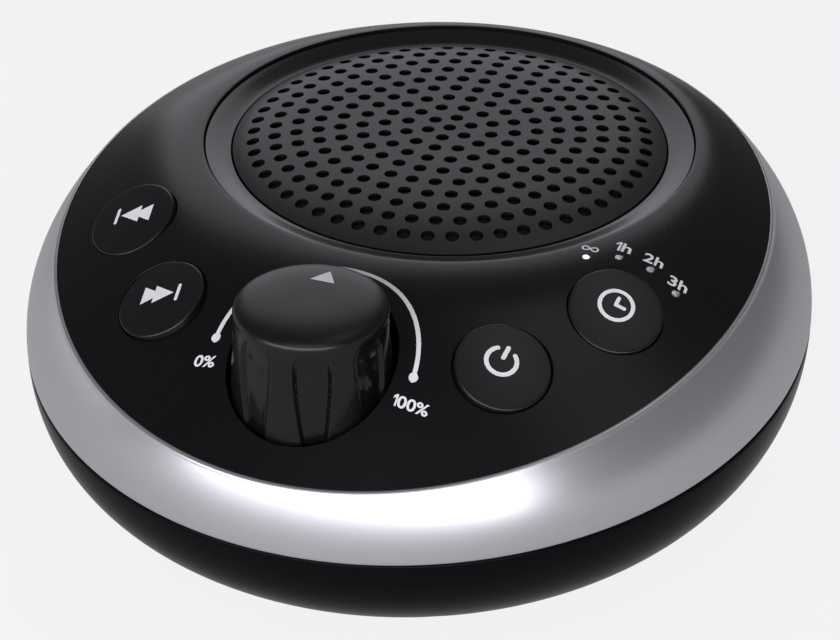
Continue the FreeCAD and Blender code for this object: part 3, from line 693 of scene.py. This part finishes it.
def knob_outline():
    """(radius, height) from the middle of the top, over the shoulder and down the flaring side."""
    outline = [(0.02, knob_top)]
    for i in range(1, 91):
        r = knob_crown_radius * math.sin(math.radians(i))
        outline.append((r, crown_height(r)))
    shoulder = knob_top - knob_crown_drop
    for i in range(1, 91):
        share = i / 90
        r = knob_crown_radius + (knob_foot_radius - knob_crown_radius) * (1 - (1 - share) ** 3.2)
        outline.append((r, shoulder - (shoulder - knob_bottom) * share))
    return outline


def flute_half(travel, length):
    """Half the width of a flute: an arch at its top that narrows to a leaf's tip at the foot."""
    if travel <= 0:
        return 0.0
    arch = math.sqrt(1 - (1 - min(1.0, travel / flute_arch)) ** 2)
    return flute_half_width * arch * (1 - 0.5 * max(0.0, (travel - 4) / (length - 4)) ** 1.5)


def soften_top(mat, low, high, roughness):
    """Makes a glossy material satin towards the top, between two heights in millimetres."""
    nodes = mat.node_tree.nodes
    links = mat.node_tree.links
    shader = nodes["Principled BSDF"]
    place = nodes.new("ShaderNodeTexCoord")
    axes = nodes.new("ShaderNodeSeparateXYZ")
    share = nodes.new("ShaderNodeMapRange")
    share.interpolation_type = "SMOOTHSTEP"
    share.inputs["From Min"].default_value = low * MM
    share.inputs["From Max"].default_value = high * MM
    mix = nodes.new("ShaderNodeMix")
    mix.data_type = "FLOAT"
    mix.inputs["B"].default_value = roughness
    links.new(place.outputs["Object"], axes.inputs["Vector"])
    links.new(axes.outputs["Z"], share.inputs["Value"])
    links.new(share.outputs["Result"], mix.inputs["Factor"])
    links.new(shader.inputs["Roughness"].links[0].from_socket, mix.inputs["A"])
    links.new(mix.outputs["Result"], shader.inputs["Roughness"])


def inward_direction(outline, i):
    """The direction into the knob, square to its outline, at a point of the outline."""
    before = outline[max(0, i - 1)]
    after = outline[min(len(outline) - 1, i + 1)]
    heading = Vector((after[0] - before[0], after[1] - before[1])).normalized()
    return Vector((heading.y, -heading.x))


def make_knob():
    """The fluted body: each flute is sunk along the outline and has a fine groove at its edge."""
    segments = 720
    outline = knob_outline()
    travels = []
    walked = 0.0
    for i, (r, z) in enumerate(outline):
        if i and knob_top - z > flute_start:
            walked += math.hypot(r - outline[i - 1][0], z - outline[i - 1][1])
        travels.append(walked)
    rows = []
    turn = 2 * math.pi / flute_count
    for i, (r, z) in enumerate(outline):
        inward = inward_direction(outline, i)
        half = flute_half(travels[i], travels[-1])
        deep = flute_depth * min(1.0, travels[i] / 3)
        row = []
        for k in range(segments):
            a = 2 * math.pi * k / segments
            off = (a - flute_side + turn / 2) % turn - turn / 2
            across = abs(off * r) / half if half > 0.01 else 2.0
            depth = deep * (1 - across ** 7) if across < 1 else 0.0
            depth += flute_groove * deep * math.exp(-((across - 0.95) / 0.09) ** 2)
            out = r + inward.x * depth
            row.append(Vector((out * math.cos(a), knob_y + out * math.sin(a), z + inward.y * depth)))
        rows.append(row)
    points, faces = skin(rows[::-1])
    faces.append(tuple(range(len(points) - segments, len(points))))
    soften_top(knob_gloss, knob_top - 3.6, knob_top - 0.5, 0.36)
    knob = piece("knob_body", points, faces, knob_gloss, "volume", "knob_plastic")
    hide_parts("volume_knob")
    sharpen(knob, 60)


make_knob()


# Buttons

def button_level(x, y):
    """The height of a button's crown above its place."""
    return button_proud + math.sqrt(button_crown ** 2 - x ** 2 - y ** 2) - button_crown


def make_button(name, place, axis):
    """A crowned cap with a rolled edge, its flange and the stub that presses the plunger."""
    edge = 0.3
    crown = [(r, button_level(r, 0)) for r in (0.02, 1.5, 3.0, 4.5, 5.6, button_radius - edge)]
    rim_level = crown[-1][1]
    profile = crown + arc(edge, 75, 0, 5, (button_radius - edge, rim_level - edge))
    profile += [(button_radius, -5.0), (button_flange_radius, -5.0), (button_flange_radius, -5.8),
                (1.6, -5.8), (1.6, -7.7), (0.02, -7.7)]
    turned = lathe(profile[::-1], place, axis, segments=160)
    cap = piece(name + "_cap", *turned, button_satin, name, "button_plastic")
    sharpen(cap, 50)
    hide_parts(name + "_button")


for name, (place, axis) in button_frames.items():
    make_button(name, place, axis)


# Printed signs

def flat_mesh(outlines):
    """Fills closed outlines of (x, y) points in millimetres, with any outline inside another as a hole."""
    curve = bpy.data.curves.new("sign", "CURVE")
    curve.dimensions = "2D"
    curve.fill_mode = "BOTH"
    for outline in outlines:
        spline = curve.splines.new("POLY")
        spline.points.add(len(outline) - 1)
        for point, (x, y) in zip(spline.points, outline):
            point.co = (x, y, 0, 1)
        spline.use_cyclic_u = True
    return filled(curve)


def filled(data):
    """The points and faces of a flat curve or text."""
    holder = add_object("sign", data)
    mesh = baked_mesh(holder)
    bpy.data.objects.remove(holder)
    points = [v.co.copy() for v in mesh.vertices]
    faces = [tuple(p.vertices) for p in mesh.polygons]
    bpy.data.meshes.remove(mesh)
    return points, faces


def ring_outline(x, y, radius, count=48):
    return [(x + radius * math.cos(2 * math.pi * i / count), y + radius * math.sin(2 * math.pi * i / count))
            for i in range(count)]


def stroke(start, end, width):
    """A straight bar with round ends, as one outline."""
    start, end = Vector(start), Vector(end)
    along = (end - start).normalized()
    heading = math.atan2(along.y, along.x)
    points = []
    for centre, first in ((end, heading - math.pi / 2), (start, heading + math.pi / 2)):
        for i in range(9):
            a = first + math.pi * i / 8
            points.append((centre.x + width / 2 * math.cos(a), centre.y + width / 2 * math.sin(a)))
    return points


def arc_band(x, y, radius, width, start, end, count=40):
    """A curved bar with round ends, angles in degrees."""
    points = []
    for r, a0, a1 in ((radius + width / 2, start, end), (radius - width / 2, end, start)):
        for i in range(count + 1):
            a = math.radians(a0 + (a1 - a0) * i / count)
            points.append((x + r * math.cos(a), y + r * math.sin(a)))
        tip = math.radians(a1)
        cx, cy = x + radius * math.cos(tip), y + radius * math.sin(tip)
        sign = 1 if a1 > a0 else -1
        begin = tip if sign > 0 else tip + math.pi
        for i in range(1, 6):
            a = begin + math.pi * i / 6
            points.append((cx + width / 2 * math.cos(a), cy + width / 2 * math.sin(a)))
    return points


def print_on_button(name, button, shapes):
    """Lays signs on a button's crown; up is away from the knob's front."""
    shift = sign_shift.get(button, 0.0)
    place, axis = button_frames[button]
    right = Vector((0, 1, 0)).cross(axis).normalized()
    up = axis.cross(right)
    for index, outlines in enumerate(shapes):
        points, faces = flat_mesh(outlines)
        laid = []
        for p in points:
            y = p.y + sign_rise
            level = button_level(p.x, y) + ink_lift
            laid.append(place + right * (p.x + shift) + up * y + axis * level)
        piece("%s_%d" % (name, index + 1), laid, faces, ink, button, "button_plastic")


def on_surface(x, y):
    """The point of the shell's outer face above (x, y)."""
    return surface.ray_cast(Vector((x, y, 80.0)), Vector((0, 0, -1)))[0]


def print_on_shell(name, points, faces):
    """Lays a flat sign on the shell, straight down."""
    laid = [on_surface(p.x, p.y) + Vector((0, 0, ink_lift)) for p in points]
    piece(name, laid, faces, ink, "housing", "satin_black")


power_ring = arc_band(0, -0.1, 2.02, line, 128, 412)
power_bar = stroke((0, 0.45), (0, 2.15), line)
print_on_button("power_sign", "power", [[power_ring], [power_bar]])
clock_ring = [ring_outline(0, 0, clock_radius + side * clock_half_line) for side in (1, -1)]
clock_hands = [[stroke((-0.1, 0), tip, hand_line)] for tip in ((-0.1, 1.15), (1.15, 0))]
print_on_button("clock_sign", "timer", [clock_ring] + clock_hands)


def triangle(tip_x, back_x, half):
    """An arrowhead that points along x."""
    return [(tip_x, 0.0), (back_x, half), (back_x, -half)]


def skip_sign(name, button, sign):
    """A bar and two arrowheads run together; the sign is 1 for forwards and -1 for back."""
    arrows = [[triangle(sign * tip, sign * (tip - 3.1), 1.5)] for tip in (2.1, 0.25)]
    bar = stroke((sign * 2.75, -1.2), (sign * 2.75, 1.2), 0.5)
    print_on_button(name, button, [[bar]] + arrows)


skip_sign("previous_sign", "previous", -1)
skip_sign("next_sign", "next", 1)


def figure_one(x, half_height):
    """The figure 1 as one outline: a stem with a short flag."""
    w = half_height * 0.34
    h = half_height
    return [(x - w / 2, -h), (x + w / 2, -h), (x + w / 2, h), (x - w / 2, h), (x - w * 1.7, h * 0.62),
            (x - w * 1.7, h * 0.2), (x - w / 2, h * 0.52)]


def make_text(words, height, x, y, widen):
    """Bold letters round a point; a leading 1 has its own outline."""
    data = bpy.data.curves.new("words", "FONT")
    data.body = words[1:] if words.startswith("1") else words
    data.size = height * 1.35
    data.offset = height * 0.028
    data.align_x = "LEFT"
    data.align_y = "BOTTOM_BASELINE"
    points, faces = filled(data)
    lift = max(p.y for p in points) / 2
    points = [Vector((p.x * widen, p.y - lift, 0)) for p in points]
    if words.startswith("1"):
        one_points, one_faces = flat_mesh([figure_one(-height * 0.1, height / 2)])
        faces += [tuple(v + len(points) for v in face) for face in one_faces]
        points += one_points
    middle_x = (min(p.x for p in points) + max(p.x for p in points)) / 2
    return [p + Vector((x - middle_x, y, 0)) for p in points], faces


volume_arc = arc_band(0, knob_y, scale_radius, scale_line, 0, 180, 120)
print_on_shell("volume_scale_line", *flat_mesh([volume_arc]))
for end, side in (("low", -1), ("high", 1)):
    print_on_shell("volume_end_" + end, *flat_mesh([ring_outline(side * scale_radius, knob_y + 0.4, 0.62)]))
print_on_shell("volume_label_low", *make_text("0%", 1.5, -14.2, -43.95, 1.25))
print_on_shell("volume_label_high", *make_text("100%", 1.5, 14.75, -44.1, 1.25))
hour_labels = (("1h", 2.0, 32.85, -9.3), ("2h", 1.8, 37.2, -9.6), ("3h", 1.8, 41.2, -11.55))
for words, height, x, y in hour_labels:
    print_on_shell("timer_label_" + words, *make_text(words, height, x, y, 1.2))


def loop_point(a):
    """A point of a figure of eight that lies on its side."""
    scale = loop_reach / (1 + math.sin(a) ** 2)
    return scale * math.cos(a), scale * math.sin(a) * math.cos(a) * 1.15


def loop_sign(x, y):
    """The endless sign: one figure-of-eight ribbon."""
    count = 64
    points = []
    for i in range(count):
        a = 2 * math.pi * i / count
        px, py = loop_point(a)
        next_x, next_y = loop_point(a + 0.01)
        side = Vector((py - next_y, next_x - px)).normalized() * loop_width / 2
        points.append(Vector((x + px + side.x, y + py + side.y, 0)))
        points.append(Vector((x + px - side.x, y + py - side.y, 0)))
    faces = [(2 * i, 2 * i + 1, 2 * ((i + 1) % count) + 1, 2 * ((i + 1) % count)) for i in range(count)]
    return points, faces


print_on_shell("timer_label_endless", *loop_sign(28.75, -11.5))
for index, (place, axis) in enumerate(light_places(surface)):
    profile = [(light_radius, -3.0), (light_radius, 0.0), (light_radius * 0.8, 0.05), (0.02, 0.07)]
    piece("timer_light_%d" % (index + 1), *lathe(profile, place, axis, segments=32),
          lamp_on if index == 0 else lamp_off, "housing", "clear_plastic")


def make_pointer():
    """A triangle on the knob's top, laid as a grid so that it follows the crown."""
    steps = 8
    points = []
    faces = []
    for i in range(steps + 1):
        for k in range(5):
            x = (k - 2) / 2 * pointer_half_width * i / steps
            y = pointer_tip - pointer_length * i / steps
            points.append(Vector((x, knob_y + y, crown_height(math.hypot(x, y)) + ink_lift)))
            if i and k:
                corner = i * 5 + k
                faces.append((corner, corner - 5, corner - 6, corner - 1))
    piece("knob_pointer", points, faces, ink, "volume", "knob_plastic")


make_pointer()


# Floor, light and camera

def make_stage():
    """A plain pale floor. To the camera it is nearly white, and it keeps the part's soft shadow."""
    mesh = bpy.data.meshes.new("floor")
    reach = 4.0
    mesh.from_pydata([(-reach, -reach, 0), (reach, -reach, 0), (reach, reach, 0), (-reach, reach, 0)], [],
                     [(0, 1, 2, 3)])
    floor_paint = bpy.data.materials.new("floor_paint")
    floor_paint.use_nodes = True
    tree = floor_paint.node_tree
    shader = tree.nodes["Principled BSDF"]
    shader.inputs["Base Color"].default_value = (0.6, 0.6, 0.605, 1)
    shader.inputs["Roughness"].default_value = 0.9
    shader.inputs["Specular IOR Level"].default_value = 0.1
    white = tree.nodes.new("ShaderNodeEmission")
    white.inputs["Strength"].default_value = 1.0
    path = tree.nodes.new("ShaderNodeLightPath")
    share = tree.nodes.new("ShaderNodeMath")
    share.operation = "MULTIPLY"
    share.inputs[1].default_value = 0.85
    glossy_share = tree.nodes.new("ShaderNodeMath")
    glossy_share.operation = "MULTIPLY_ADD"
    glossy_share.inputs[1].default_value = 0.2
    blend = tree.nodes.new("ShaderNodeMixShader")
    tree.links.new(path.outputs["Is Camera Ray"], share.inputs[0])
    tree.links.new(path.outputs["Is Glossy Ray"], glossy_share.inputs[0])
    tree.links.new(share.outputs[0], glossy_share.inputs[2])
    tree.links.new(glossy_share.outputs[0], blend.inputs[0])
    tree.links.new(shader.outputs[0], blend.inputs[1])
    tree.links.new(white.outputs[0], blend.inputs[2])
    tree.links.new(blend.outputs[0], tree.nodes["Material Output"].inputs["Surface"])
    mesh.materials.append(floor_paint)
    add_object("floor", mesh)


def add_softbox(name, side, height, distance, size, level, tint=(1, 1, 1)):
    """A softbox placed by its angle from the camera's side and its height, both in degrees. Its face shines
    at the level given, where 1 is white."""
    turn = math.radians(camera_side + side)
    rise = math.radians(height)
    away = Vector((math.sin(turn) * math.cos(rise), -math.cos(turn) * math.cos(rise), math.sin(rise)))
    data = bpy.data.lights.new(name, "AREA")
    data.shape = "RECTANGLE"
    data.size, data.size_y = size
    data.energy = level * math.pi * size[0] * size[1]
    data.color = tint
    lamp = add_object(name, data)
    lamp.location = Vector((0, 0, 0.03)) + away * distance
    lamp.rotation_euler = (-away).to_track_quat("-Z", "Y").to_euler()
    lamp.visible_camera = False


make_stage()
add_softbox("front_box", -16, 9, 1.2, (2.5, 0.75), 5.0, (0.96, 0.96, 1.0))
add_softbox("key_box", -8, 54, 1.25, (1.0, 0.6), 1.1, (0.97, 0.97, 1.0))
add_softbox("back_box", 183, 22, 1.2, (0.8, 0.85), 1.1, (0.92, 0.92, 1.0))
add_softbox("left_box", -108, 0, 1.3, (0.9, 0.4), 0.8, (0.95, 0.96, 1.0))
add_softbox("right_box", 110, 70, 1.4, (0.8, 0.5), 0.7)

world = bpy.data.worlds.new("studio")
world.use_nodes = True
bpy.context.scene.world = world
tree = world.node_tree
background = tree.nodes["Background"]
path = tree.nodes.new("ShaderNodeLightPath")
mix = tree.nodes.new("ShaderNodeMix")
mix.data_type = "FLOAT"
mix.inputs["A"].default_value = 0.14
mix.inputs["B"].default_value = 1.0
tree.links.new(path.outputs["Is Camera Ray"], mix.inputs["Factor"])
tree.links.new(mix.outputs["Result"], background.inputs["Strength"])
background.inputs["Color"].default_value = (1, 1, 1, 1)

camera_data = bpy.data.cameras.new("camera")
camera_data.lens = 107.36
camera_data.sensor_width = 36.0
camera = add_object("camera", camera_data)
right = Vector((0.94035, 0.34021, 0.0)).normalized()
forward = Vector((-0.28654, 0.79202, -0.53907)).normalized()
up = right.cross(forward)
turned = Matrix((right, up, -forward)).transposed().to_4x4()
camera.matrix_world = Matrix.Translation(Vector((0.10607, -0.29305, 0.22178))) @ turned
bpy.context.scene.camera = camera
bpy.context.scene.view_settings.view_transform = "Standard"
